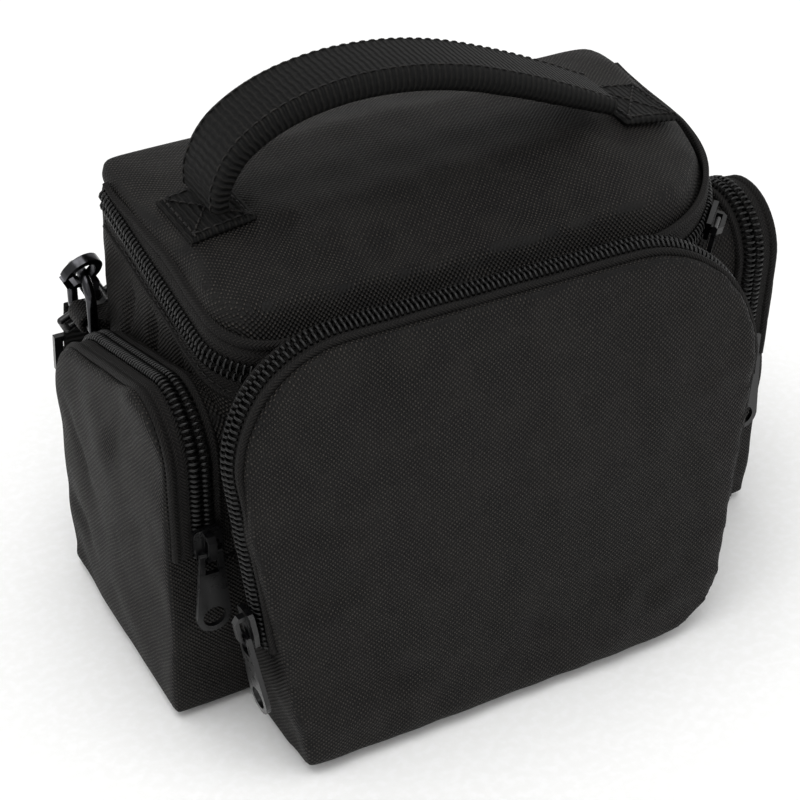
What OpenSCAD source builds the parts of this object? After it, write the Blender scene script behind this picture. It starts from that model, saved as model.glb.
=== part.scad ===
// Small padded camera bag: zip lid with a grab handle, a zip pocket on the front and on each side, and a
// shoulder strap clipped to a ring at each back corner. +X is the bag's right seen from the front, -Y is the
// front, and the base rests on z = 0.

/* [Body] */
// Outside width of the main compartment
body_w = 184; // [176:1:190]
// Distance from the bag's middle to the front face of the main compartment
body_front = 31; // [29:1:31]
// Distance from the bag's middle to the back face
body_back = 70; // [68:1:71]
// Height of the lid zip at the front
zip_front_z = 123; // [122:1:125]
// Height of the lid zip at the back
zip_back_z = 140; // [138:1:141]
// Thickness of a padded wall
wall = 5; // [4:0.5:6]
// Thickness of the lining
lining_t = 1.2; // [0.8:0.1:1.4]

/* [Lid] */
// Height of the middle of the lid above the floor
lid_top_z = 151; // [150:1:154]
// Thickness of the lid's padding
lid_t = 4; // [3:0.5:5]

/* [Front pocket] */
// Angle that the pocket's face leans back by
pocket_lean = 8; // [7:0.5:9]
// Height of the pocket's zip along the leaning face
pocket_h = 139; // [137:1:140]
// Thickness of the front flap
pocket_d = 10.4; // [9:0.1:11]

/* [Side pockets] */
// How far each side pocket stands out from the body
side_d = 21; // [19:1:22]
// Height of the side pocket's zip at the front
side_front_z = 112; // [109:1:113]
// Height of the side pocket's zip at the back
side_back_z = 97; // [96:1:99]

/* [Handle] */
// Width of the handle's webbing
handle_w = 25; // [22:1:26]
// Thickness of the padded handle
handle_t = 8; // [7:0.5:8]

/* [Zips] */
// How far the coil stands proud of the tape's face
coil_h = 2.6; // [2.2:0.1:2.7]
// Length of a pull tab below its pin
pull_l = 29; // [26:1:30]
// Width of a pull tab at its round end
pull_w = 11; // [10:0.5:11]

/* [Strap] */
// Width of the strap's webbing
strap_w = 25; // [24:1:25]
// Thickness of the strap's webbing
strap_t = 1.6; // [1.4:0.1:1.8]

/* [Hidden] */

fabric = [0.10, 0.10, 0.10];
webbing = [0.13, 0.13, 0.12];
tape = [0.16, 0.15, 0.15];
metal = [0.20, 0.20, 0.21];
grey_lining = [0.32, 0.32, 0.33];

half_w = body_w / 2;
front_y = -body_front;
tilt = atan((zip_back_z - zip_front_z) / (body_back + body_front));
gap = 0.3;          // half the gap between the two halves of a zip
tape_t = 0.9;       // zip tape thickness
floor_t = 6;        // padded base thickness
big = 400;

// ---------- outlines ----------
function arc(cx, cy, r, a0, a1, n) =
    [for (i = [0:n]) let (a = a0 + (a1 - a0) * i / n) [cx + r * cos(a), cy + r * sin(a)]];

// A box with round corners, grown outwards by g: front left, front right and back radii.
function round_box(x0, x1, y0, y1, rl, rr, rb, g) = concat(
    arc(x0 + rl, y0 + rl, rl + g, 180, 270, 6), arc(x1 - rr, y0 + rr, rr + g, 270, 360, 12),
    arc(x1 - rb, y1 - rb, rb + g, 0, 90, 6), arc(x0 + rb, y1 - rb, rb + g, 90, 180, 6));

corner_left = 18;
corner_right = 50;
corner_back = 8;
function plan(g) = round_box(-half_w, half_w, front_y, body_back, corner_left, corner_right, corner_back, g);

module prism(g, z0, z1) translate([0, 0, z0]) linear_extrude(z1 - z0) polygon(plan(g));
module plan_ring(g0, g1) difference() { prism(g1, 90, 170); prism(g0, 80, 180); }

// Everything above or below the lid zip's sloping plane, moved up by d.
module on_zip_plane(d) translate([0, front_y, zip_front_z + d]) rotate([tilt, 0, 0]) children();
module over(d) on_zip_plane(d) translate([-big / 2, -big / 4, 0]) cube([big, big, big / 2]);
module under(d) on_zip_plane(d) translate([-big / 2, -big / 4, -big]) cube([big, big, big]);

// ---------- main compartment ----------
module body_shell() color(fabric) difference() {
    intersection() { prism(0, 0, 160); under(-gap); }
    prism(-wall, floor_t, 170);
}
module body_lining() color(grey_lining) difference() {
    intersection() { prism(-wall, floor_t, 160); under(-1); }
    prism(-wall - lining_t, floor_t + lining_t, 170);
}
board_t = 2.5;
module base_board() color(grey_lining)
    prism(-wall - lining_t - 0.2, floor_t + lining_t, floor_t + lining_t + board_t);

divider_t = 6;
divider_h = 96;
module divider(x) color(grey_lining) intersection() {
    prism(-wall - lining_t - 0.2, floor_t + lining_t + board_t, floor_t + divider_h);
    translate([x, -big / 2, 0]) cube([divider_t, big, big]);
}
module divider_left() divider(-30);
module divider_right() divider(28);

// ---------- lid ----------
skirt_h = 6;
module lid_solid(g) hull() {
    intersection() { prism(-g, 100, 170); over(-8); under(skirt_h); }
    translate([0, 0, lid_top_z - 10 - g]) linear_extrude(1)
        polygon(round_box(-90 + g, 90 - g, -25 + g, 69 - g, 16, 48, 16, 0));
    translate([0, 0, lid_top_z - 4.5 - g]) linear_extrude(1)
        polygon(round_box(-86 + g, 86 - g, -6 + g, 64 - g, 14, 40, 14, 0));
    translate([0, 0, lid_top_z - 1 - g]) linear_extrude(1)
        polygon(round_box(-62 + g, 62 - g, 8 + g, 48 - g, 10, 24, 10, 0));
}
module lid_shell() color(fabric) intersection() {
    difference() { lid_solid(0); lid_solid(lid_t); }
    over(gap);
}
module lid_lining() color(grey_lining) intersection() {
    difference() { lid_solid(lid_t); lid_solid(lid_t + lining_t); }
    over(1);
}

zip_end_y = 58;     // the lid zip stops here on both sides, short of the hinge
tape_h = 12;
module zip_band(g0, g1, low, high) intersection() {
    plan_ring(g0, g1);
    over(low);
    under(high);
    translate([-big / 2, zip_end_y - big, 0]) cube([big, big, big]);
}
module lid_zip_lower() color(tape) {
    zip_band(0, tape_t, -tape_h, -gap);
    zip_band(tape_t, coil_h, -coil_h, -gap);
}
module lid_zip_upper() color(tape) {
    zip_band(0, tape_t, gap, skirt_h);
    zip_band(tape_t, coil_h, gap, coil_h);
}

// ---------- handle ----------
handle_y = 19;      // middle of the handle's width
// Middle line of the handle, from the left anchor over to the right one: [x, z].
HANDLE = [[-76, 154.5], [-75, 162], [-68, 172], [-54, 179.5], [-36, 183], [-16, 182.5], [4, 178.5],
    [24, 171.5], [42, 164], [58, 157]];
function smooth_at(p, i, t) = let (
    n = len(p) - 1, a = p[max(i - 1, 0)], b = p[i], c = p[min(i + 1, n)], d = p[min(i + 2, n)])
    0.5 * ((2 * b) + (c - a) * t + (2 * a - 5 * b + 4 * c - d) * t * t + (3 * b - a - 3 * c + d) * t * t * t);
function smooth(p, k) = concat([for (i = [0:len(p) - 2], j = [0:k - 1]) smooth_at(p, i, j / k)], [p[len(p) - 1]]);
function side_of(p, i, d) = let (a = p[max(i - 1, 0)], b = p[min(i + 1, len(p) - 1)], v = (b - a) / norm(b - a))
    p[i] + d * [-v[1], v[0]];
function band(p, t) = concat([for (i = [0:len(p) - 1]) side_of(p, i, t / 2)],
    [for (i = [len(p) - 1:-1:0]) side_of(p, i, -t / 2)]);
module handle_part(w, t) translate([0, handle_y + w / 2, 0]) rotate([90, 0, 0]) linear_extrude(w)
    polygon(band(smooth(HANDLE, 3), t));
core_t = 4;
core_w = 18;
module handle_cover() color(webbing) difference() { handle_part(handle_w, handle_t); handle_part(core_w, core_t); }
module handle_core() color(grey_lining) handle_part(core_w, core_t);

anchor_l = 20;
anchor_w = 27;
anchor_slope = 8.3; // the lid's top falls to the sides by this angle
module anchor(x) translate([-x, handle_y - anchor_w / 2, lid_top_z - (x - 62) * tan(anchor_slope) + 0.1])
    rotate([0, -anchor_slope, 0]) cube([anchor_l, anchor_w, 1.2]);
module handle_anchor_left() color(webbing) anchor(86);
module handle_anchor_right() color(webbing) mirror([1, 0, 0]) anchor(82);

// ---------- slider and pull tab ----------
// In its own frame the zip runs along Z, the outward side is -Y, and y = 0 is the tape's outer face.
plate_y = coil_h + 0.7;
crown_y = plate_y + 3.7;
pin_y = plate_y + 3;
pin_z = -2.2;
pin_r = 0.75;
module slider() color(metal) {
    translate([0, -plate_y, 0]) rotate([90, 0, 0]) linear_extrude(1.6)
        polygon([[-3.2, -6], [3.2, -6], [4.5, -1], [4.5, 5], [3.4, 6], [-3.4, 6], [-4.5, 5], [-4.5, -1]]);
    translate([-1.3, -crown_y - 1.6, 0]) rotate([90, 0, 90]) linear_extrude(2.6) difference() {
        polygon([[0, -3], [1.5, -4.6], [crown_y - plate_y, -4.6], [crown_y - plate_y, 4.6], [1.5, 4.6], [0, 3]]);
        polygon([[1.3, -3.2], [crown_y - plate_y - 0.3, -3.2], [crown_y - plate_y - 0.3, 3.2], [1.3, 3.2]]);
    }
}
hole_r = 3.6;
module pull() color(metal) {
    translate([0, -pin_y + pin_r, 0]) rotate([90, 0, 0]) linear_extrude(2 * pin_r) difference() {
        polygon(concat([[-3.7, -3.6], [3.7, -3.6]],
            arc(0, pin_z - pull_l + pull_w / 2, pull_w / 2, 0, -180, 12)));
        translate([0, pin_z - pull_l + pull_w / 2]) circle(hole_r, $fn = 32);
        translate([-2.2, -9]) square([4.4, 6]);
    }
    for (s = [-1, 1]) translate([s * 2.95 - 0.75, -pin_y - pin_r, -3.7]) cube([1.5, 2 * pin_r, 1.5]);
    translate([-3.7, -pin_y, pin_z]) rotate([0, 90, 0]) cylinder(r = pin_r, h = 7.4, $fn = 24);
}

// Slider at the lid's front right corner, and its pull tab, which hangs down from it.
lid_a = -46;        // angle of that slider round the corner
module on_lid_corner() on_zip_plane(0)
    translate([half_w - corner_right, corner_right / cos(tilt), 0])
        rotate([0, 0, lid_a]) translate([corner_right, 0, 0]) rotate([-90, 0, 0]) rotate([0, 0, 90]) children();
module lid_slider_corner() on_lid_corner() slider();
hang_x = -2.35;     // its pin lies over the crown's front leg, which the tab's window goes round
hang_z = -3.9;
hang_turn = 9;      // it leans forward by this angle, clear of the side pocket
module lid_pull_corner() on_lid_corner() translate([hang_x, 0, hang_z]) rotate([0, hang_turn - 90, 0])
    translate([0, 0, -pin_z]) pull();

// Slider on the front run of the lid zip, with its pull tab lying along the zip.
lid_front_x = 50;
module on_lid_front() translate([lid_front_x, front_y, zip_front_z]) rotate([0, 90, 0]) children();
module lid_slider_front() on_lid_front() slider();
module lid_pull_front() on_lid_front() pull();

// ---------- front pocket ----------
pocket_left = -98;
pocket_right = 76;
pocket_foot_y = 58.7;   // how far forward the zip's plane meets the floor
module on_pocket() translate([0, -pocket_foot_y, 0]) rotate([-pocket_lean, 0, 0]) children();
// The pocket's outline on its leaning face, grown by g, with its top at h.
function pocket_outline(g, h) = concat([[-87 - g, 2 - g], [pocket_left - g, h - 53]],
    arc(pocket_left + 34, h - 34, 34 + g, 180, 90, 8), arc(pocket_right - 44, h - 44, 44 + g, 90, 0, 8),
    [[64 + g, 24]], arc(42, 24, 22 + g, 0, -90, 4));
// A slice of the pocket between two depths, y0 in front of y1.
module slice(y0, y1) translate([0, y1, 0]) rotate([90, 0, 0]) linear_extrude(y1 - y0) children();
module pocket_part(t0, t1, g, h) intersection() {
    polygon(pocket_outline(g, h));
    translate([-big / 2, t0]) square([big, t1 - t0]);
}
// Everything in front of the side pockets and outside the body, one limit on each side.
module before_body() difference() {
    union() {
        translate([-big, -27.3 - big, 1]) cube([big, big, big]);
        translate([-1, -18.3 - big, 1]) cube([big, big, big]);
    }
    prism(0, -1, 200);
}
hinge_t = 40;       // height of the flap's fold along the face
low_top = 108;      // the gusset's own top, below the lid zip
lip_t = 1.2;
module low_outline(g) intersection() {
    pocket_part(hinge_t, low_top + g, g, pocket_h);
    pocket_part(hinge_t - 1, low_top + g, g, low_top);
}
module low_wall(y0, y1, g) intersection() {
    on_pocket() slice(y0, y1) difference() {
        low_outline(g);
        translate([0, -8]) low_outline(-7);
        low_outline(-7);
    }
    before_body();
}
module front_gusset() color(fabric) {
    low_wall(0, 9, 0);
    low_wall(8.9, 45, -4);
    on_pocket() slice(0, lip_t) difference() {
        pocket_part(low_top - 51, pocket_h, 0, pocket_h);
        low_outline(-0.01);
    }
}
module front_tray() color(fabric) intersection() {
    on_pocket() difference() {
        slice(-pocket_d, 45) pocket_part(0, hinge_t, 0, pocket_h);
        slice(-pocket_d + 3.5, 46) pocket_part(8, hinge_t + 1, -4, pocket_h);
    }
    before_body();
}
module front_flap() color(fabric) on_pocket() difference() {
    slice(-pocket_d, -2 * gap) pocket_part(hinge_t + 0.4, pocket_h, 0, pocket_h);
    slice(-pocket_d + 3.5, 1) pocket_part(hinge_t, pocket_h, -5, pocket_h);
}
zip_low_t = 46;
module pocket_band(g0, g1, y0, y1, t0, t1) on_pocket() slice(y0, y1) difference() {
    pocket_part(t0, t1, g1, pocket_h);
    pocket_part(t0 - 1, t1 + 1, g0, pocket_h);
}
module front_zip_inner() color(tape) {
    pocket_band(0, tape_t, 0, lip_t, zip_low_t, pocket_h + 9);
    pocket_band(0, tape_t, lip_t, 7, zip_low_t, low_top - 34);
    pocket_band(tape_t, coil_h, 0, lip_t, zip_low_t, pocket_h + 9);
}
module front_zip_outer() color(tape) {
    pocket_band(0, tape_t, -7, -2 * gap, zip_low_t, pocket_h + 9);
    pocket_band(tape_t, coil_h, -2 * gap - lip_t, -2 * gap, zip_low_t, pocket_h + 9);
}
slider_t = 54;
side_angle = atan((-87 - pocket_left) / (pocket_h - 55));
module on_front_zip() on_pocket() translate([-87 - (slider_t - 2) * tan(side_angle), -gap, slider_t])
    rotate([0, -side_angle, 0]) rotate([0, 0, -90]) children();
module front_slider() on_front_zip() slider();
module front_pull() on_front_zip() pull();

// ---------- side pockets ----------
// Each one's [front edge, zip height at the front, zip height at the back]; the right one sits further back.
LEFT = [-27, side_front_z, side_back_z];
RIGHT = [-16, side_front_z + 8, side_back_z];
side_y1 = 61;
side_r0 = 18;
side_r1 = 26;
function fall(p) = atan((p[1] - p[2]) / (side_y1 - p[0]));
function side_outline(p, g, z0) = concat([[p[0] - g, z0]],
    arc(p[0] + side_r0, p[1] - side_r0, side_r0 + g, 180, 90 - fall(p), 7),
    arc(side_y1 - side_r1, p[2] - side_r1 + 1, side_r1 + g, 90 - fall(p), 0, 9), [[side_y1 + g, z0]]);
module out_from(x0, x1) translate([half_w + x0, 0, 0]) rotate([90, 0, 90]) linear_extrude(x1 - x0) children();
side_zip_x = 9.3;   // the zip's plane stands this far out from the body
side_hinge_z = 60;
into_corner = -40;  // the walls run in this far, to meet the body's round corners
module side_gusset(p) out_from(into_corner, side_zip_x - gap) difference() {
    polygon(side_outline(p, 0, side_hinge_z));
    polygon(side_outline(p, -3, side_hinge_z - 1));
}
module side_tray(p) difference() {
    out_from(into_corner, side_d) translate([p[0], 2]) square([side_y1 - p[0], side_hinge_z - 2]);
    out_from(into_corner - 1, side_d - 3.5) translate([p[0] + 4, 7]) square([side_y1 - p[0] - 8, side_hinge_z]);
}
module off_body() difference() {
    children();
    prism(0, -1, 200);
    intersection() { prism(tape_t + 0.05, 90, 170); over(-tape_h - 0.05); }
    intersection() { prism(coil_h + 0.05, 90, 170); over(-coil_h - 0.05); }
}
module side_flap(p) difference() {
    out_from(side_zip_x + gap, side_d) polygon(side_outline(p, 0, side_hinge_z + 0.4));
    out_from(side_zip_x, side_d - 3.5) polygon(side_outline(p, -4, side_hinge_z));
}
side_zip_z = 64;
module side_band(p, g0, g1, x0, x1) out_from(x0, x1) difference() {
    polygon(side_outline(p, g1, side_zip_z));
    polygon(side_outline(p, g0, side_zip_z - 1));
}
module side_zip_inner(p) {
    side_band(p, 0, tape_t, 2.8, side_zip_x - gap);
    side_band(p, tape_t, coil_h, side_zip_x - coil_h, side_zip_x - gap);
}
module side_zip_outer(p) {
    side_band(p, 0, tape_t, side_zip_x + gap, side_d - 2);
    side_band(p, tape_t, coil_h, side_zip_x + gap, side_zip_x + coil_h);
}
module on_side_zip(p) translate([half_w + side_zip_x, p[0], side_zip_z + 6]) children();
module left() mirror([1, 0, 0]) children();
module right_gusset() color(fabric) off_body() side_gusset(RIGHT);
module right_tray() color(fabric) off_body() side_tray(RIGHT);
module right_flap() color(fabric) side_flap(RIGHT);
module right_zip_inner() color(tape) side_zip_inner(RIGHT);
module right_zip_outer() color(tape) side_zip_outer(RIGHT);
module right_slider() on_side_zip(RIGHT) slider();
module right_pull() on_side_zip(RIGHT) pull();
module left_gusset() color(fabric) off_body() left() side_gusset(LEFT);
module left_tray() color(fabric) off_body() left() side_tray(LEFT);
module left_flap() color(fabric) left() side_flap(LEFT);
module left_zip_inner() color(tape) left() side_zip_inner(LEFT);
module left_zip_outer() color(tape) left() side_zip_outer(LEFT);
module left_slider() left() on_side_zip(LEFT) slider();
module left_pull() left() on_side_zip(LEFT) pull();

// ---------- ring, snap hook and strap loop, drawn on the right ----------
ring_x = 99.5;
ring_y = 68.5;
ring_z = 91;        // middle of the ring's straight lower bar
ring_w = 18;        // between the middles of its two uprights
ring_h = 18;
wire_r = 1.7;
module ring() color(metal) translate([ring_x, ring_y, ring_z]) rotate([90, 0, 90]) {
    for (s = [-1, 1]) translate([s * ring_w / 2, 0, 0]) rotate([-90, 0, 0])
        cylinder(r = wire_r, h = ring_h - ring_w / 2, $fn = 24);
    translate([-ring_w / 2, 0, 0]) rotate([0, 90, 0]) cylinder(r = wire_r, h = ring_w, $fn = 24);
    for (s = [-1, 1]) translate([s * ring_w / 2, 0, 0]) sphere(wire_r, $fn = 24);
    translate([0, ring_h - ring_w / 2, 0]) rotate_extrude(angle = 180, $fn = 48)
        translate([ring_w / 2, 0]) circle(wire_r, $fn = 24);
}
tab_w = 11;
module ring_tab() translate([0, ring_y + tab_w / 2, 0]) rotate([90, 0, 0]) linear_extrude(tab_w)
    difference() {
        union() {
            translate([ring_x, ring_z]) circle(wire_r + 2, $fn = 32);
            translate([half_w - 14, ring_z - 14]) square([17, 12]);
            translate([half_w - 14, ring_z - 3.7]) square([ring_x - half_w + 14, 3.7]);
        }
        translate([ring_x, ring_z]) circle(wire_r + 0.3, $fn = 32);
    }

// The hook's own frame: its jaw holds the ring's wire at the origin, and its shank runs down.
hook_lean = 30;     // the strap pulls the hook back by this angle
hook_inward = 25;   // and in by this one
hook_seat = 10;     // angle forward of the ring's top at which the hook hangs
module on_hook() translate([ring_x, ring_y - ring_w / 2 * sin(hook_seat),
    ring_z + ring_h - ring_w / 2 * (1 - cos(hook_seat))]) rotate([hook_lean, hook_inward, 0]) children();
jaw_r = 4.6;
jaw_t = 3;
shank_z = -12;
module hook() color(metal) on_hook() {
    translate([0, jaw_t / 2, 0]) rotate([90, 0, 0]) linear_extrude(jaw_t) difference() {
        union() {
            circle(jaw_r + 2.4, $fn = 48);
            translate([-3.2, shank_z]) square([6.4, 7]);
        }
        circle(jaw_r, $fn = 48);
        translate([jaw_r - 2.2, -3.4]) square([6, 7]);
    }
    translate([0, 0, shank_z - 4]) cylinder(r = 3.4, h = 4, $fn = 32);
}
module gate() color(metal) on_hook() translate([0, 1.2, 0]) rotate([90, 0, 0]) linear_extrude(2.4)
    polygon([[jaw_r - 0.1, -3.1], [jaw_r + 2.2, -3.1], [jaw_r + 2.2, 3.2], [jaw_r + 0.2, 3.2]]);
loop_w = 31;
loop_h = 8;
loop_t = 2.6;
collar_h = 7;
module loop_bar(x0, x1, z) translate([x0, 0, z]) rotate([0, 90, 0]) cylinder(r = loop_t / 2, h = x1 - x0, $fn = 24);
module strap_loop() color(metal) on_hook() translate([0, 0, shank_z - 4.3]) {
    difference() {
        translate([0, 0, -collar_h]) cylinder(r = 3.4, h = collar_h, $fn = 32);
        translate([0, 0, -1.5]) cylinder(r = 1, h = 3, $fn = 24);
    }
    for (k = [0, 1]) loop_bar(-loop_w / 2 + loop_t / 2, loop_w / 2 - loop_t / 2, -collar_h - k * loop_h);
    for (s = [-1, 1]) translate([s * (loop_w - loop_t) / 2, 0, -collar_h - loop_h])
        cylinder(r = loop_t / 2, h = loop_h, $fn = 24);
    for (s = [-1, 1], k = [0, 1]) translate([s * (loop_w - loop_t) / 2, 0, -collar_h - k * loop_h])
        sphere(loop_t / 2, $fn = 24);
}
module right_ring_tab() color(webbing) off_body() ring_tab();
module right_ring() ring();
module right_hook() hook();
module right_gate() gate();
module right_loop() strap_loop();
module left_ring_tab() color(webbing) off_body() left() ring_tab();
module left_ring() left() ring();
module left_hook() left() hook();
module left_gate() left() gate();
module left_loop() left() strap_loop();

// ---------- shoulder strap ----------
floor_z = strap_w / 2 + 0.1;
// Middle line of each hanging stretch, and the face it turns to: [x, y, z].
LEFT_ROUTE = [[-88, 84.7, 86], [-88.5, 86.5, 72], [-88, 88, 55], [-83, 89.5, 40], [-74, 91, 28], [-62, 91, 19],
    [-48, 91, 14], [-34, 91, floor_z]];
RIGHT_ROUTE = [[88, 84.7, 86], [88.5, 88, 73], [88, 92, 61], [84, 97, 52], [77, 102, 45], [68, 107, 39],
    [58, 110, 31], [48, 112, 22], [38, 112.5, 15], [28, 112.5, floor_z]];
function unit(v) = v / norm(v);
function tangent(p, i) = unit(p[min(i + 1, len(p) - 1)] - p[max(i - 1, 0)]);
function level_normal(v) = unit(cross(v, cross([0, 1, 0], v)));
// Eight points round the webbing's flat section at point i, whose thickness runs along Y as far as it can.
function section(p, i) = let (t = tangent(p, i), n = level_normal(t), w = cross(n, t))
    [for (s = [[-0.5, -0.2], [-0.5, 0.2], [-0.46, 0.5], [0.46, 0.5], [0.5, 0.2], [0.5, -0.2], [0.46, -0.5],
        [-0.46, -0.5]]) p[i] + w * s[0] * strap_w + n * s[1] * strap_t];
module ribbon(route) let (p = smooth(route, 2), n = len(p)) polyhedron(
    points = [for (i = [0:n - 1]) each section(p, i)],
    faces = concat([for (k = [1:6]) [0, k + 1, k]], [for (k = [1:6]) (n - 1) * 8 * [1, 1, 1] + [0, k, k + 1]],
        [for (i = [0:n - 2], k = [0:7]) let (a = i * 8 + k, b = i * 8 + (k + 1) % 8)
            each [[a, b, b + 8], [a, b + 8, a + 8]]]));
module strap_left() color(webbing) ribbon(LEFT_ROUTE);
module strap_right() color(webbing) ribbon(RIGHT_ROUTE);

// The spare strap stands on edge in an oval coil behind the bag: this is the coil's outer shape.
coil_x = 8;         // middle of the coil
coil_y = 129;
coil_half = 42;     // half the straight run
coil_in = 16.5;     // inner turn's radius at its middle
coil_out = 38;      // outer turn's radius at its middle
module oval(r) union() {
    for (s = [-1, 1]) translate([coil_x + s * coil_half, coil_y]) circle(r, $fn = 64);
    translate([coil_x - coil_half, coil_y - r]) square([2 * coil_half, 2 * r]);
}
module strap_coil() color(webbing) linear_extrude(strap_w) difference() {
    oval(coil_out + strap_t);
    oval(coil_in - strap_t);
}
module strap_adjuster() color(metal) translate([-88.5 - 16, 87, 60]) rotate([6, 0, 0]) difference() {
    cube([32, 2, 14]);
    for (k = [0, 1]) translate([3, -1, 2.2 + k * 5.8]) cube([26, 4, 3.8]);
}

body_shell();
body_lining();
base_board();
divider_left();
divider_right();
lid_shell();
lid_lining();
lid_zip_lower();
lid_zip_upper();
handle_cover();
handle_core();
handle_anchor_left();
handle_anchor_right();
lid_slider_corner();
lid_pull_corner();
lid_slider_front();
lid_pull_front();
front_gusset();
front_tray();
front_flap();
front_zip_inner();
front_zip_outer();
front_slider();
front_pull();
left_gusset();
left_tray();
left_flap();
left_zip_inner();
left_zip_outer();
left_slider();
left_pull();
right_gusset();
right_tray();
right_flap();
right_zip_inner();
right_zip_outer();
right_slider();
right_pull();
left_ring_tab();
left_ring();
left_hook();
left_gate();
left_loop();
right_ring_tab();
right_ring();
right_hook();
right_gate();
right_loop();
strap_left();
strap_coil();
strap_right();
strap_adjuster();
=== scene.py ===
"""A small padded camera bag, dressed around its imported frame: cloth, zips, handle, strap and hardware."""
import logging
import math
from dataclasses import dataclass
from enum import Enum
from typing import Callable, Sequence

import bmesh
import bpy
import numpy as np
from mathutils import Matrix, Vector


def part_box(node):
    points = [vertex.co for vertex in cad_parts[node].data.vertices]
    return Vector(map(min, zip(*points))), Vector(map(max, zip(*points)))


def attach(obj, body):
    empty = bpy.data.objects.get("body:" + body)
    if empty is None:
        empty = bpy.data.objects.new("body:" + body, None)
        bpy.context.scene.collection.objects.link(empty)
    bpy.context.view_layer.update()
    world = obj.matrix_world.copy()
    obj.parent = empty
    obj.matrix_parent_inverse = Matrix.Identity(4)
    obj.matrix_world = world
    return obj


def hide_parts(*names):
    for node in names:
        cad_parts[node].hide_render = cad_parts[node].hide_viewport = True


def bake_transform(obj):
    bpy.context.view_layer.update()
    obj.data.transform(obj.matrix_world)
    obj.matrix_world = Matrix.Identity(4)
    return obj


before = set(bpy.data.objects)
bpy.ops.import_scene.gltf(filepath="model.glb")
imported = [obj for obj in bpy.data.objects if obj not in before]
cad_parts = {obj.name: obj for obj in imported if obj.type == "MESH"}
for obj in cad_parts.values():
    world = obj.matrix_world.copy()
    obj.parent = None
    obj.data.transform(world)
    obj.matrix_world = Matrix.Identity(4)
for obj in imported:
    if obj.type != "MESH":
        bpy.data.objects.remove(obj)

log = logging.getLogger("bag")
MM = 0.001
Points = np.ndarray
Sculpt = Callable[[Points, Points], Points]
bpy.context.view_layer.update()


class Slot(str, Enum):
    """The record's material slots."""

    OXFORD = "oxford"
    WEBBING = "webbing"
    ZIP_TAPE = "zip_tape"
    LINING = "lining"
    FOAM = "foam"
    METAL = "black_metal"


class Side(Enum):
    """Which side of the bag a part is on, as the sign of its X."""

    LEFT = -1
    RIGHT = 1

    @property
    def word(self) -> str:
        """The side's name in lower case."""
        return self.name.lower()


# ---------------------------------------------------------------- materials
def linear(hex_code: str) -> tuple[float, float, float, float]:
    """Turns an sRGB hex colour to linear light.

    Args:
        hex_code: Six hex digits after a hash.

    Returns:
        Red, green, blue and an alpha of 1.
    """
    parts = [int(hex_code[i:i + 2], 16) / 255 for i in (1, 3, 5)]
    return (*[c / 12.92 if c <= 0.04045 else ((c + 0.055) / 1.055) ** 2.4 for c in parts], 1.0)


def add(tree: bpy.types.NodeTree, kind: str, inputs: dict | None = None, **settings) -> bpy.types.Node:
    """Adds a node with its settings and its inputs.

    Args:
        tree: The tree the node goes into.
        kind: The node's type name.
        inputs: Socket name or number to a value, a socket or a node, whose first output is meant.
        settings: The node's own properties.

    Returns:
        The new node.
    """
    made = tree.nodes.new(kind)
    for key, value in settings.items():
        setattr(made, key, value)
    for key, value in (inputs or {}).items():
        if isinstance(value, bpy.types.Node):
            value = value.outputs[0]
        if isinstance(value, bpy.types.NodeSocket):
            tree.links.new(value, made.inputs[key])
        else:
            made.inputs[key].default_value = value
    return made


def per_metre(pitch_mm: float) -> float:
    """How far a wave of that pitch turns over a metre, in radians."""
    return 2 * math.pi / (pitch_mm * MM)


@dataclass(frozen=True)
class Finish:
    """A finish: its name, its colours, how rough it is and how deep its pattern stands."""

    name: str
    dark: str
    light: str
    roughness: float
    relief_mm: float = 0.0
    metallic: float = 0.0
    sheen: float = 0.0
    coat: float = 0.0
    specular: float = 0.5

    MARK_MM = 3.0

    def pattern(self, tree: bpy.types.NodeTree) -> dict[str, bpy.types.NodeSocket]:
        """Draws faint handling marks, for a finish that has nothing more.

        Args:
            tree: The material's tree.

        Returns:
            The names of the shader's sockets, and what goes into each.
        """
        at = add(tree, "ShaderNodeTexCoord").outputs["Object"]
        marks = add(tree, "ShaderNodeTexNoise", {
            "Vector": at, "Scale": 1 / (self.MARK_MM * MM), "Detail": 4.0})
        share = add(tree, "ShaderNodeMapRange", {0: marks, 1: 0.4, 2: 0.7}, interpolation_type="SMOOTHSTEP")
        colour = add(tree, "ShaderNodeMix", {0: share, 6: linear(self.dark), 7: linear(self.light)},
                     data_type="RGBA")
        rough = add(tree, "ShaderNodeMapRange", {
            0: marks, 1: 0.3, 2: 0.7, 3: self.roughness * 0.85, 4: self.roughness * 1.15},
            interpolation_type="SMOOTHSTEP")
        drawn = {"Base Color": colour.outputs[2], "Roughness": rough.outputs[0]}
        if self.relief_mm:
            bump = add(tree, "ShaderNodeBump", {
                "Height": marks, "Distance": self.relief_mm * MM, "Strength": 1.0})
            drawn["Normal"] = bump.outputs[0]
        return drawn

    def material(self) -> bpy.types.Material:
        """The finish's material, made once.

        Returns:
            The material.
        """
        found = bpy.data.materials.get(self.name)
        if found:
            return found
        material = bpy.data.materials.new(self.name)
        material.use_nodes = True
        tree = material.node_tree
        tree.nodes.clear()
        shader = add(tree, "ShaderNodeBsdfPrincipled", {
            "Base Color": linear(self.dark), "Roughness": self.roughness, "Metallic": self.metallic,
            "Sheen Weight": self.sheen, "Sheen Roughness": 0.5, "Coat Weight": self.coat,
            "Coat Roughness": 0.2, "Specular IOR Level": self.specular})
        add(tree, "ShaderNodeOutputMaterial", {"Surface": shader})
        for name, source in self.pattern(tree).items():
            tree.links.new(source, shader.inputs[name])
        return material


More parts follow.
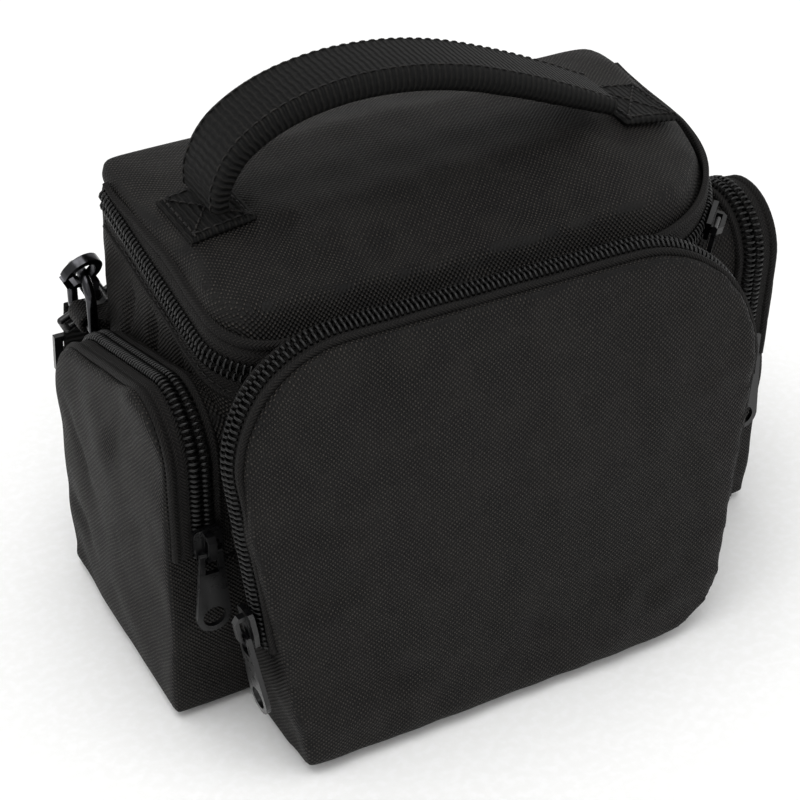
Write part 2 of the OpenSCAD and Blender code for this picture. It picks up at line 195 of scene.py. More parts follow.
@dataclass(frozen=True)
class OxfordCloth(Finish):
    """Black polyester Oxford cloth, basket woven: rows of small crowns where the threads cross, each with a
    painted highlight.
    """

    # The crown colour is a painted highlight, laid on the weave's crowns where light would catch the threads.
    crown: str = "#3d3935"
    pitch_mm: float = 1.5

    SWAYS_PER_M = 90.0
    SWAY_MM = 1.1
    LINT_MM = 0.9
    MOTTLE_MM = 11.0

    def pattern(self, tree: bpy.types.NodeTree) -> dict[str, bpy.types.NodeSocket]:
        """Draws the weave on all three planes, weighted by which way the cloth faces.

        Args:
            tree: The material's tree.

        Returns:
            The names of the shader's sockets, and what goes into each.
        """
        place = add(tree, "ShaderNodeTexCoord")
        at = place.outputs["Object"]
        noise = add(tree, "ShaderNodeTexNoise", {"Vector": at, "Scale": self.SWAYS_PER_M, "Detail": 1.0})
        about_zero = add(tree, "ShaderNodeVectorMath", {0: noise.outputs["Color"], 1: (0.5, 0.5, 0.5)},
                         operation="SUBTRACT")
        sway = add(tree, "ShaderNodeVectorMath", {0: about_zero, 3: self.SWAY_MM * MM}, operation="SCALE")
        swayed = add(tree, "ShaderNodeVectorMath", {0: at, 1: sway}, operation="ADD")
        axes = add(tree, "ShaderNodeSeparateXYZ", {0: swayed})
        faces = add(tree, "ShaderNodeSeparateXYZ", {0: place.outputs["Normal"]})
        waves, shares = [], []
        for axis, facing in zip(axes.outputs, faces.outputs):
            turned = add(tree, "ShaderNodeMath", {0: axis, 1: per_metre(self.pitch_mm)}, operation="MULTIPLY")
            waves.append(add(tree, "ShaderNodeMath", {0: turned}, operation="SINE"))
            shares.append(add(tree, "ShaderNodeMath", {0: facing, 1: facing}, operation="MULTIPLY"))
        height: bpy.types.Node | float = 0.0
        for i, share in enumerate(shares):
            cross = add(tree, "ShaderNodeMath", {0: waves[(i + 1) % 3], 1: waves[(i + 2) % 3]},
                        operation="MULTIPLY")
            height = add(tree, "ShaderNodeMath", {0: cross, 1: share, 2: height}, operation="MULTIPLY_ADD")
        lint = add(tree, "ShaderNodeTexNoise", {
            "Vector": at, "Scale": 1 / (self.LINT_MM * MM), "Detail": 3.0})
        # Noise that breaks up the painted highlight on the crowns.
        highlight_break = add(tree, "ShaderNodeMapRange", {0: lint, 1: 0.3, 2: 0.62, 3: 0.25},
                   interpolation_type="SMOOTHSTEP")
        tops = add(tree, "ShaderNodeMapRange", {0: height, 1: 0.18, 2: 0.85}, interpolation_type="SMOOTHSTEP")
        crowns = add(tree, "ShaderNodeMath", {0: tops, 1: highlight_break}, operation="MULTIPLY")
        cloud = add(tree, "ShaderNodeTexNoise", {
            "Vector": at, "Scale": 1 / (self.MOTTLE_MM * MM), "Detail": 3.0})
        mottle = add(tree, "ShaderNodeMapRange", {0: cloud, 1: 0.38, 2: 0.66},
                     interpolation_type="SMOOTHSTEP")
        ground = add(tree, "ShaderNodeMix", {0: mottle, 6: linear(self.dark), 7: linear(self.light)},
                     data_type="RGBA")
        # Painted highlight: the crown colour is laid over the weave's crowns.
        colour = add(tree, "ShaderNodeMix", {0: crowns, 6: ground.outputs[2], 7: linear(self.crown)},
                     data_type="RGBA")
        rough = add(tree, "ShaderNodeMapRange", {0: crowns, 3: self.roughness, 4: self.roughness * 0.8},
                    interpolation_type="SMOOTHSTEP")
        relief = add(tree, "ShaderNodeMath", {0: lint, 1: 0.5, 2: height}, operation="MULTIPLY_ADD")
        bump = add(tree, "ShaderNodeBump", {
            "Height": relief, "Distance": self.relief_mm * MM, "Strength": 1.0})
        return {"Base Color": colour.outputs[2], "Roughness": rough.outputs[0], "Normal": bump.outputs[0]}


@dataclass(frozen=True)
class StripWeave(Finish):
    """A narrow woven strip, drawn along its own length: ribs across it, turned to chevrons by its columns,
    their tops with a painted highlight.
    """

    rib_mm: float = 1.2
    column_mm: float = 1.6
    slant: float = 1.0
    column_depth: float = 0.18

    LINT_MM = 1.1

    def pattern(self, tree: bpy.types.NodeTree) -> dict[str, bpy.types.NodeSocket]:
        """Draws the ribs and columns on the strip's own map, whose U runs along it in metres.

        Args:
            tree: The material's tree.

        Returns:
            The names of the shader's sockets, and what goes into each.
        """
        place = add(tree, "ShaderNodeTexCoord")
        axes = add(tree, "ShaderNodeSeparateXYZ", {0: place.outputs["UV"]})
        along, across = axes.outputs[0], axes.outputs[1]
        zigzag = add(tree, "ShaderNodeMath", {0: across, 1: self.column_mm * MM}, operation="PINGPONG")
        slanted = add(tree, "ShaderNodeMath", {0: zigzag, 1: self.slant, 2: along}, operation="MULTIPLY_ADD")
        waves = []
        for value, pitch_mm in ((slanted, self.rib_mm), (across, self.column_mm)):
            turned = add(tree, "ShaderNodeMath", {0: value, 1: per_metre(pitch_mm)}, operation="MULTIPLY")
            waves.append(add(tree, "ShaderNodeMath", {0: turned}, operation="SINE"))
        columns = add(tree, "ShaderNodeMath", {0: waves[1], 1: self.column_depth}, operation="MULTIPLY")
        height = add(tree, "ShaderNodeMath", {0: waves[0], 1: 0.5, 2: columns}, operation="MULTIPLY_ADD")
        lint = add(tree, "ShaderNodeTexNoise", {
            "Vector": place.outputs["Object"], "Scale": 1 / (self.LINT_MM * MM), "Detail": 3.0})
        # Noise that breaks up the painted highlight on the ribs' tops.
        highlight_break = add(tree, "ShaderNodeMapRange", {0: lint, 1: 0.3, 2: 0.65, 3: 0.35},
                   interpolation_type="SMOOTHSTEP")
        tops = add(tree, "ShaderNodeMapRange", {0: height, 1: -0.1, 2: 0.6}, interpolation_type="SMOOTHSTEP")
        share = add(tree, "ShaderNodeMath", {0: tops, 1: highlight_break}, operation="MULTIPLY")
        # Painted highlight and shade: the light colour on the ribs' tops, the dark colour in their hollows.
        colour = add(tree, "ShaderNodeMix", {0: share, 6: linear(self.dark), 7: linear(self.light)},
                     data_type="RGBA")
        relief = add(tree, "ShaderNodeMath", {0: lint, 1: 0.3, 2: height}, operation="MULTIPLY_ADD")
        bump = add(tree, "ShaderNodeBump", {
            "Height": relief, "Distance": self.relief_mm * MM, "Strength": 1.0})
        return {"Base Color": colour.outputs[2], "Normal": bump.outputs[0]}


# Woven polyester: matt and near black, with a faint warm cast and a painted highlight on each float's crown.
OXFORD = OxfordCloth("oxford_polyester_woven", "#0a0909", "#121110", 0.62, relief_mm=0.36, specular=0.17)
# Zip tape: knitted polyester in fine chevrons, a little lighter than the cloth, with a painted highlight on
# its ribs' tops.
TAPE = StripWeave("zip_tape_knitted", "#0c0b0b", "#211f1d", 0.7, relief_mm=0.22, specular=0.15)
# Nylon webbing: coarse ribs across its width, each rib's top with a painted highlight.
WEBBING = StripWeave("nylon_webbing_ribbed", "#050505", "#171614", 0.65, relief_mm=0.6, specular=0.14,
                     rib_mm=2.0, column_mm=3.1, slant=0.1, column_depth=0.05)
# Bound seam: plain folded edging, smoother than the cloth, with a painted highlight on its ribs' tops.
BINDING = StripWeave("seam_binding_folded", "#0c0b0b", "#1b1918", 0.7, relief_mm=0.15, specular=0.15,
                     rib_mm=0.9, column_mm=1.1)
# Moulded nylon coil: glossy black, with small hard highlights.
COIL = Finish("nylon_coil_moulded", "#050505", "#0a0a0a", 0.33, relief_mm=0.02, specular=0.3)
# Die-cast zinc under satin black enamel: soft highlights along its edges.
ENAMEL = Finish("zinc_satin_enamel", "#050506", "#0a0a0b", 0.3, relief_mm=0.015, coat=0.25, specular=0.35)
# Steel wire plated dark: sharp bright reflections.
PLATED = Finish("steel_dark_plated", "#363638", "#4a4a4d", 0.18, relief_mm=0.008, metallic=1.0)
# Brushed nylon over foam: soft mid grey with a short nap.
NAP = Finish("brushed_nylon_lining", "#3a3a3d", "#57575b", 0.9, relief_mm=0.3, sheen=0.3)
# Spun polyester thread: fine, with a slight shine.
THREAD = Finish("polyester_thread_spun", "#0f0e0e", "#242220", 0.55, relief_mm=0.05, specular=0.2)
# Matt white paper under the bag.
PAPER = Finish("paper_matt_white", "#fbfbfa", "#ffffff", 0.9)


# ---------------------------------------------------------------- mesh tools
def new_object(name: str, mesh: bpy.types.Mesh) -> bpy.types.Object:
    """Puts a mesh in the scene.

    Args:
        name: The piece's name.
        mesh: Its mesh, in metres.

    Returns:
        The new object.
    """
    made = bpy.data.objects.new(name, mesh)
    bpy.context.collection.objects.link(made)
    return made


def mesh_object(name: str, points: Points, faces: Sequence[Sequence[int]],
                smooth: bool = True) -> bpy.types.Object:
    """Makes a piece from points in millimetres and its faces.

    Args:
        name: The piece's name.
        points: Its points.
        faces: Its faces.
        smooth: Whether the faces are shaded smooth.

    Returns:
        The new object.
    """
    mesh = bpy.data.meshes.new(name)
    mesh.from_pydata((np.asarray(points, float) * MM).tolist(), [], [list(map(int, f)) for f in faces])
    mesh.polygons.foreach_set("use_smooth", [smooth] * len(mesh.polygons))
    mesh.update()
    return new_object(name, mesh)


def outwards(piece: bpy.types.Object) -> None:
    """Turns a closed piece's faces outwards.

    Args:
        piece: The piece.
    """
    work = bmesh.new()
    work.from_mesh(piece.data)
    bmesh.ops.recalc_face_normals(work, faces=work.faces)
    work.to_mesh(piece.data)
    work.free()
    piece.data.update()


def unit(v: Points) -> Points:
    """Each row of v, or v itself, with a length of 1."""
    return v / np.maximum(np.linalg.norm(v, axis=-1, keepdims=True), 1e-12)


def smooth_line(points: Sequence[Sequence[float]], steps: int) -> Points:
    """A curve through the points, by the same rule as the CAD source's.

    Args:
        points: The points it passes through.
        steps: How many pieces each stretch is cut in.

    Returns:
        The curve's points.
    """
    p = np.asarray(points, float)
    out = []
    for i in range(len(p) - 1):
        a, b, c, d = p[max(i - 1, 0)], p[i], p[i + 1], p[min(i + 2, len(p) - 1)]
        for j in range(steps):
            t = j / steps
            out.append(0.5 * (2 * b + (c - a) * t + (2 * a - 5 * b + 4 * c - d) * t * t
                              + (3 * b - a - 3 * c + d) * t ** 3))
    return np.array([*out, p[-1]])


def arc(cx: float, cy: float, r: float, start: float, end: float, n: int = 14) -> list[tuple[float, float]]:
    """Points round an arc, its angles in degrees."""
    turn = np.radians(np.linspace(start, end, n + 1))
    return list(zip(cx + r * np.cos(turn), cy + r * np.sin(turn)))


def run_of(line: Points) -> Points:
    """How far along the line each of its points is."""
    return np.concatenate([[0], np.cumsum(np.linalg.norm(np.diff(line, axis=0), axis=1))])


def even(line: Points, step: float) -> Points:
    """The same line with points at an even spacing.

    Args:
        line: The line's points.
        step: The spacing.

    Returns:
        The new points.
    """
    run = run_of(line)
    at = np.linspace(0, run[-1], max(2, int(round(run[-1] / step)) + 1))
    return np.stack([np.interp(at, run, line[:, k]) for k in range(line.shape[1])], axis=1)


def tangents(line: Points) -> Points:
    """The line's direction at each of its points."""
    return unit(np.gradient(line, axis=0))


def sweep(name: str, line: Points, across: Points, out: Points, section: Points) -> bpy.types.Object:
    """Carries a closed section along a line, with a map whose U runs along it and V round it, in metres.

    Args:
        name: The piece's name.
        line: The line's points, in millimetres.
        across: The section's first direction at each point.
        out: The section's second direction at each point.
        section: The section's points, (m, 2), or one such set for each point of the line.

    Returns:
        The new object.
    """
    n = len(line)
    if section.ndim == 2:
        section = np.repeat(section[None], n, axis=0)
    m = section.shape[1]
    points = line[:, None] + across[:, None] * section[..., :1] + out[:, None] * section[..., 1:]
    faces = [[i * m + j, i * m + (j + 1) % m, (i + 1) * m + (j + 1) % m, (i + 1) * m + j]
             for i in range(n - 1) for j in range(m)]
    faces += [list(range(m))[::-1], list(range((n - 1) * m, n * m))]
    piece = mesh_object(name, points.reshape(-1, 3), faces)
    run = run_of(line)
    middle = section[n // 2]
    girth = run_of(np.vstack([middle, middle[:1]]))
    layer = piece.data.uv_layers.new(name="UVMap")
    flat = []
    for i in range(n - 1):
        for j in range(m):
            flat += [(run[i], girth[j]), (run[i], girth[j + 1]),
                     (run[i + 1], girth[j + 1]), (run[i + 1], girth[j])]
    flat += [(run[0], girth[j]) for j in range(m)][::-1] + [(run[-1], girth[j]) for j in range(m)]
    layer.data.foreach_set("uv", (np.array(flat) * MM).ravel())
    outwards(piece)
    return piece


def rounded_box(width: float, height: float, radius: float, steps: int = 4) -> Points:
    """A closed rectangle with round corners, about its middle.

    Args:
        width: Its width.
        height: Its height.
        radius: The corners' radius.
        steps: How many pieces each corner is cut in.

    Returns:
        Its points.
    """
    points: list[tuple[float, float]] = []
    for k, (sx, sy) in enumerate(((1, 1), (-1, 1), (-1, -1), (1, -1))):
        cx, cy = sx * (width / 2 - radius), sy * (height / 2 - radius)
        points += arc(cx, cy, radius, 90 * k, 90 * k + 90, steps)
    return np.array(points)


def dress(piece: bpy.types.Object, finish: Finish, slot: Slot, body: str, *nodes: str) -> bpy.types.Object:
    """Gives a piece its finish, makes it move with a body and stand for CAD nodes.

    Args:
        piece: The piece.
        finish: Its finish.
        slot: The record's slot; not used.
        body: The body it rides on.
        nodes: The CAD nodes that it stands for.

    Returns:
        The piece.
    """
    if not piece.data.materials:
        piece.data.materials.append(finish.material())
    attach(piece, body)
    if nodes:
        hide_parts(*nodes)
    log.info("%s rides on %s, with %d faces", piece.name, body, len(piece.data.polygons))
    return piece


# ---------------------------------------------------------------- what repeats
class RowTree:
    """A geometry tree that sets copies of one small piece along a line, at an even spacing."""

    PAST_ANY_END_M = 100.0

    def __init__(self) -> None:
        """Builds the tree with its named inputs."""
        tree = bpy.data.node_groups.new("row_along_line", "GeometryNodeTree")
        face = tree.interface
        face.new_socket("Geometry", in_out="INPUT", socket_type="NodeSocketGeometry")
        kinds = {"Spacing": "Float", "Shift": "Float", "Piece": "Object", "Finish": "Material"}
        for name, kind in kinds.items():
            face.new_socket(name, in_out="INPUT", socket_type=f"NodeSocket{kind}")
        face.new_socket("Geometry", in_out="OUTPUT", socket_type="NodeSocketGeometry")
        given = add(tree, "NodeGroupInput")
        line = add(tree, "GeometryNodeMeshToCurve", {0: given.outputs["Geometry"]})
        cut = add(tree, "GeometryNodeTrimCurve", {"Curve": line}, mode="LENGTH")
        tree.links.new(given.outputs["Shift"], cut.inputs[4])
        cut.inputs[5].default_value = self.PAST_ANY_END_M
        rows = add(tree, "GeometryNodeResampleCurve", {"Curve": cut, "Length": given.outputs["Spacing"]},
                   mode="LENGTH")
        across, out = [add(tree, "GeometryNodeInputNamedAttribute", {"Name": word}, data_type="FLOAT_VECTOR")
                       for word in ("across", "outward")]
        turn = add(tree, "FunctionNodeAxesToRotation", {0: across, 1: out},
                   primary_axis="Y", secondary_axis="Z")
        piece = add(tree, "GeometryNodeObjectInfo", {"Object": given.outputs["Piece"]})
        copies = add(tree, "GeometryNodeInstanceOnPoints", {
            "Points": rows, "Instance": piece.outputs["Geometry"], "Rotation": turn})
        solid = add(tree, "GeometryNodeRealizeInstances", {0: copies})
        dressed = add(tree, "GeometryNodeSetMaterial", {0: solid, "Material": given.outputs["Finish"]})
        add(tree, "NodeGroupOutput", {0: dressed})
        self.tree = tree

    def lay(self, name: str, lines: Sequence[tuple[Points, Points, Points]], piece: bpy.types.Object,
            spacing_mm: float, shift_mm: float, finish: Finish) -> bpy.types.Object:
        """Sets copies along the lines and bakes them to one plain mesh.

        Args:
            name: The new piece's name.
            lines: Each line's points in millimetres, with its across and outward directions.
            piece: The small piece that is repeated.
            spacing_mm: The spacing.
            shift_mm: How far from the line's start the first copy stands.
            finish: The copies' finish.

        Returns:
            The new object.
        """
        points, edges, across, out = [], [], [], []
        for line, side, up in lines:
            first = len(points)
            points += (line * MM).tolist()
            across += side.tolist()
            out += up.tolist()
            edges += [(first + i, first + i + 1) for i in range(len(line) - 1)]
        mesh = bpy.data.meshes.new(name + "_line")
        mesh.from_pydata(points, edges, [])
        for word, values in (("across", across), ("outward", out)):
            mesh.attributes.new(word, "FLOAT_VECTOR", "POINT").data.foreach_set("vector", np.ravel(values))
        carrier = new_object(name + "_line", mesh)
        modifier = carrier.modifiers.new("row", "NODES")
        modifier.node_group = self.tree
        values = {"Spacing": spacing_mm * MM, "Shift": max(shift_mm * MM, 1e-6), "Piece": piece,
                  "Finish": finish.material()}
        for socket in self.tree.interface.items_tree:
            if socket.in_out == "INPUT" and socket.name in values:
                modifier[socket.identifier] = values[socket.name]
        made = new_object(name, evaluated_mesh(carrier))
        bpy.data.objects.remove(carrier)
        made.data.polygons.foreach_set("use_smooth", [True] * len(made.data.polygons))
        return made

    def sew(self, name: str, lines: Sequence[tuple[Points, Points, Points]], spacing_mm: float,
            shift_mm: float, slot: Slot, body: str) -> None:
        """Sews a row of stitches along each line.

        Args:
            name: The row's name.
            lines: Each line's points in millimetres, with its across and outward directions.
            spacing_mm: The distance from one stitch to the next.
            shift_mm: How far from the line's start the first stitch is.
            slot: The record's slot.
            body: The body it rides on.
        """
        stitch = stitch_piece()
        made = self.lay(name, lines, stitch, spacing_mm, shift_mm, THREAD)
        bpy.data.objects.remove(stitch)
        dress(made, THREAD, slot, body)


def evaluated_mesh(piece: bpy.types.Object) -> bpy.types.Mesh:
    """The plain mesh that a piece's modifiers make.

    Args:
        piece: The piece.

    Returns:
        A new mesh.
    """
    bpy.context.view_layer.update()
    graph = bpy.context.evaluated_depsgraph_get()
    return bpy.data.meshes.new_from_object(piece.evaluated_get(graph), preserve_all_data_layers=True,
                                           depsgraph=graph)


def tube(name: str, path: Points, side: Sequence[float], wide: float, tall: float,
         sides: int) -> bpy.types.Object:
    """A short tube along a flat path, for a zip's loop or a stitch.

    Args:
        name: The piece's name.
        path: Its points, in millimetres.
        side: The direction square to the path's plane.
        wide: Its width along that direction.
        tall: Its thickness across the path.
        sides: How many sides it has.

    Returns:
        The new object.
    """
    ring = np.radians(np.arange(sides) * 360 / sides)
    section = np.stack([wide / 2 * np.cos(ring), tall / 2 * np.sin(ring)], axis=1)
    first = np.tile(np.array(side, float), (len(path), 1))
    return sweep(name, path, first, unit(np.cross(tangents(path), first)), section)


# ---------------------------------------------------------------- cloth
def relax(points: Points, edges: Points, rounds: int, hold: Points | None = None) -> Points:
    """Evens out a mesh by moving each point towards its neighbours' middle.

    Args:
        points: The mesh's points.
        edges: Its edges.
        rounds: How often it is done.
        hold: How much of the move each point makes, from 0 to 1.

    Returns:
        The new points.
    """
    count = np.bincount(edges.ravel(), minlength=len(points))[:, None]
    for _ in range(rounds):
        total = np.zeros_like(points)
        for k in range(3):
            total[:, k] = (np.bincount(edges[:, 0], points[edges[:, 1], k], len(points))
                           + np.bincount(edges[:, 1], points[edges[:, 0], k], len(points)))
        move = (total / np.maximum(count, 1) - points) * 0.5
        points = points + (move if hold is None else move * hold[:, None])
    return points


def ripple(points: Points, size: float, seed: int) -> Points:
    """Smooth, uneven rise and fall, the same each run.

    Args:
        points: Where it is read, in millimetres.
        size: The swells' size.
        seed: Which pattern.

    Returns:
        A value for each point, about -1 to 1.
    """
    draw = np.random.default_rng(seed)
    total = np.zeros(len(points))
    for _ in range(6):
        way = unit(draw.normal(size=3))
        total += np.sin(points @ way * 2 * math.pi / (size * draw.uniform(0.7, 1.5)) + draw.uniform(0, 6.28))
    return total / 3.2


def near(points: Points, centre: Sequence[float], reach: Sequence[float]) -> Points:
    """A soft blob: 1 at its centre and falling off by its reach along X, Y and Z."""
    return np.exp(-(((points - np.array(centre)) / np.array(reach)) ** 2).sum(axis=1))


def fold(points: Points, start: Sequence[float], end: Sequence[float], wide: float) -> Points:
    """A soft crease: 1 along the line from start to end, fading over its width and its ends.

    Args:
        points: Where it is read, in millimetres.
        start: Where the crease starts.
        end: Where it ends.
        wide: How wide it is.

    Returns:
        A value for each point, from 0 to 1.
    """
    a, b = np.array(start, float), np.array(end, float)
    share = np.clip((points - a) @ (b - a) / ((b - a) @ (b - a)), 0, 1)
    gap = np.linalg.norm(points - (a + share[:, None] * (b - a)), axis=1)
    return np.exp(-(gap / wide) ** 2) * np.sin(math.pi * np.clip(share, 0.04, 0.96)) ** 0.5


def folds(points: Points, creases: Sequence[tuple]) -> Points:
    """Several creases together.

    Args:
        points: Where they are read, in millimetres.
        creases: Each one's start, end, width and depth.

    Returns:
        How deep the cloth lies at each point, in millimetres.
    """
    return sum(deep * fold(points, start, end, wide) for start, end, wide, deep in creases)


@dataclass(frozen=True)
class Quilt:
    """Small even swells in a thin padded piece."""

    size_mm: float
    seed: int
    height_mm: float = 0.25

    def __call__(self, points: Points, normals: Points) -> Points:
        """How far each point moves."""
        return normals * (self.height_mm * ripple(points, self.size_mm, self.seed))[:, None]


@dataclass
class SoftShell:
    """A padded panel or shell: a CAD solid's shape, with soft edges and cloth's own swells and creases.

    A voxel size of 0 keeps the solid's own edges and only cuts its long faces. A joined solid on a moving
    body becomes one piece with the first; with a crease, the stretch between the two bodies, given, the piece
    stays fixed in place on neither body.
    """

    node: str
    body: str
    finish: Finish = OXFORD
    slot: Slot = Slot.OXFORD
    voxel_mm: float = 1.6
    rounds: int = 5
    fill: float | None = 0.6
    joined: str = ""
    moving: str = ""
    crease: tuple[tuple[float, float, float], tuple[float, float, float]] | None = None

    WELD_MM = 0.01
    LONGEST_EDGE_MM = 9
    CUTS = 4

    def start(self) -> bpy.types.Object:
        """Copies the CAD solid and evens out its mesh.

        Returns:
            The new object, its faces small and even.
        """
        work = bmesh.new()
        for node in filter(None, (self.node, self.joined)):
            work.from_mesh(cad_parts[node].data)
        bmesh.ops.remove_doubles(work, verts=work.verts, dist=self.WELD_MM * MM)
        mesh = bpy.data.meshes.new(self.node)
        if not self.voxel_mm:
            bmesh.ops.recalc_face_normals(work, faces=work.faces)
            for _ in range(self.CUTS):
                long = [e for e in work.edges if e.calc_length() > self.LONGEST_EDGE_MM * MM]
                if long:
                    bmesh.ops.subdivide_edges(work, edges=long, cuts=1, use_grid_fill=False)
                    bmesh.ops.triangulate(work, faces=[f for f in work.faces if len(f.verts) > 3])
        work.to_mesh(mesh)
        work.free()
        if not self.voxel_mm:
            return new_object("soft_" + self.node, mesh)
        rough = new_object(self.node + "_rough", mesh)
        remesh = rough.modifiers.new("even", "REMESH")
        remesh.mode = "VOXEL"
        remesh.voxel_size = self.voxel_mm * MM
        remesh.use_smooth_shade = True
        made = new_object("soft_" + self.node, evaluated_mesh(rough))
        bpy.data.objects.remove(rough)
        return made

    def place(self, mesh: bpy.types.Mesh, points: Points) -> None:
        """Moves the mesh's points to these places, in millimetres."""
        mesh.vertices.foreach_set("co", (points * MM).ravel())
        mesh.update()

    def make(self, sculpt: Sculpt | None = None) -> bpy.types.Object:
        """Builds the piece.

        Args:
            sculpt: Gives how far each point moves, from the points and their normals in millimetres.

        Returns:
            The finished piece.
        """
        piece = self.start()
        mesh = piece.data
        points = np.zeros(len(mesh.vertices) * 3)
        mesh.vertices.foreach_get("co", points)
        points = points.reshape(-1, 3) / MM
        edges = np.zeros(len(mesh.edges) * 2, int)
        mesh.edges.foreach_get("vertices", edges)
        edges = edges.reshape(-1, 2)
        if self.voxel_mm:
            points = relax(points, edges, self.rounds)
        self.place(mesh, points)
        if sculpt:
            normals = np.zeros(len(points) * 3)
            mesh.vertex_normals.foreach_get("vector", normals)
            self.place(mesh, points + sculpt(points, normals.reshape(-1, 3)))
        mesh.polygons.foreach_set("use_smooth", [bool(self.voxel_mm)] * len(mesh.polygons))
        mesh.materials.clear()
        if self.crease:
            mesh.materials.append(self.finish.material())
            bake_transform(piece)
            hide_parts(self.node, self.joined)
            log.info("%s bends between %s and %s", piece.name, self.body, self.moving)
        else:
            dress(piece, self.finish, self.slot, self.body, self.node)
        return piece


# ---------------------------------------------------------------- zips
@dataclass
class ZipLine:
    """One zip: its line, which way its tape runs across and which way its coil faces."""

    name: str
    line: Points
    across: Points
    out: Points
    rows: RowTree

    COIL_PITCH_MM = 1.75
    TAPE_MM = 0.9
    STITCH_PITCH_MM = 3.2

    def tape(self, sign: int, width: float, body: str, node: str, lean: float = 0.0) -> bpy.types.Object:
        """One half's tape, with the cloth's folded edge sewn down along its outer side.

        Args:
            sign: 1 or -1, the side of the line that it lies on.
            width: Its width, in millimetres.
            body: The body it rides on.
            node: The CAD node that it stands for.
            lean: How far its outer part leans in, for each millimetre past the lid's upright edge.

        Returns:
            The tape.
        """
        t = self.TAPE_MM
        w = width
        section = np.array([(0.35, 0.1), (0.35, t), (2.6, t), (3.0, t + 0.05), (w * 0.55, t + 0.15),
                            (w - 2.9, t), (w - 2.5, t - 0.25), (w - 2.2, t + 0.5), (w - 1.2, t + 0.75),
                            (w - 0.3, t + 0.5), (w, t - 0.5), (w, -0.2), (w * 0.5, -0.2)])
        section[:, 0] *= sign
        wave = 0.12 * np.sin(run_of(self.line) / 4.3) + 0.1 * np.sin(run_of(self.line) / 11.0 + 1)
        shaped = np.repeat(section[None], len(self.line), axis=0)
        shaped[:, 4:11, 1] += wave[:, None]
        if lean:
            narrow = np.clip((self.line[:, 1] - 18) / 34, 0, 1)[:, None] * 0.45
            shaped[:, 4:, 0] *= 1 - narrow
            shaped[..., 1] -= lean * np.clip(np.abs(shaped[..., 0]) - 6, 0, None)
        piece = sweep(f"{self.name}_{body}", self.line, self.across, self.out, shaped)
        return dress(piece, TAPE, Slot.ZIP_TAPE, body, node)

    def coil(self, sign: int, body: str) -> bpy.types.Object:
        """One half's coil, loop by loop, half a pitch on from the other half's.

        Args:
            sign: 1 or -1, the side of the line that it lies on.
            body: The body it rides on.

        Returns:
            The coil.
        """
        path = np.array([(0, 3.35, 0.8), (0, 3.3, 1.7), (0, 2.5, 2.5), (0, 1.3, 2.75), (0, 0.42, 2.35),
                         (0, 0.3, 1.5)])
        path[:, 1] *= sign
        loop = tube("loop", path, (1, 0, 0), 0.95, 0.85, sides=6)
        lines = [tuple(each_mm(self.line, values) for values in (self.line, self.across, self.out))]
        shift = 0.5 if sign > 0 else 0.5 + self.COIL_PITCH_MM / 2
        made = self.rows.lay(f"{self.name}_{body}_coil", lines, loop, self.COIL_PITCH_MM, shift, COIL)
        bpy.data.objects.remove(loop)
        return dress(made, COIL, Slot.ZIP_TAPE, body)

    def stitches(self, sign: int, at: float, height: float, body: str) -> None:
        """A row of stitches along one half's tape.

        Args:
            sign: 1 or -1, the side of the line that it lies on.
            at: How far from the line it runs.
            height: How high it stands.
            body: The body it rides on.
        """
        line = self.line + self.across * sign * at + self.out * height
        self.rows.sew(f"{self.name}_{body}_stitches", [(line, self.across, self.out)],
                      self.STITCH_PITCH_MM, 1.0, Slot.ZIP_TAPE, body)


def each_mm(line: Points, values: Points) -> Points:
    """The values along a line, at every millimetre of its length.

    Args:
        line: The line's points.
        values: A point or a direction for each of them.

    Returns:
        The values in between.
    """
    run = run_of(line)
    at = np.linspace(0, run[-1], int(run[-1]) + 1)
    return np.stack([np.interp(at, run, values[:, k]) for k in range(3)], axis=1)


def stitch_piece() -> bpy.types.Object:
    """One stitch, lying along X, its ends dipping into the cloth.

    Returns:
        The stitch.
    """
    path = np.array([(-1.25, 0, -0.25), (-0.8, 0, 0.12), (0, 0, 0.25), (0.8, 0, 0.12), (1.25, 0, -0.25)])
    return tube("stitch", path, (0, 1, 0), 0.68, 0.52, sides=5)


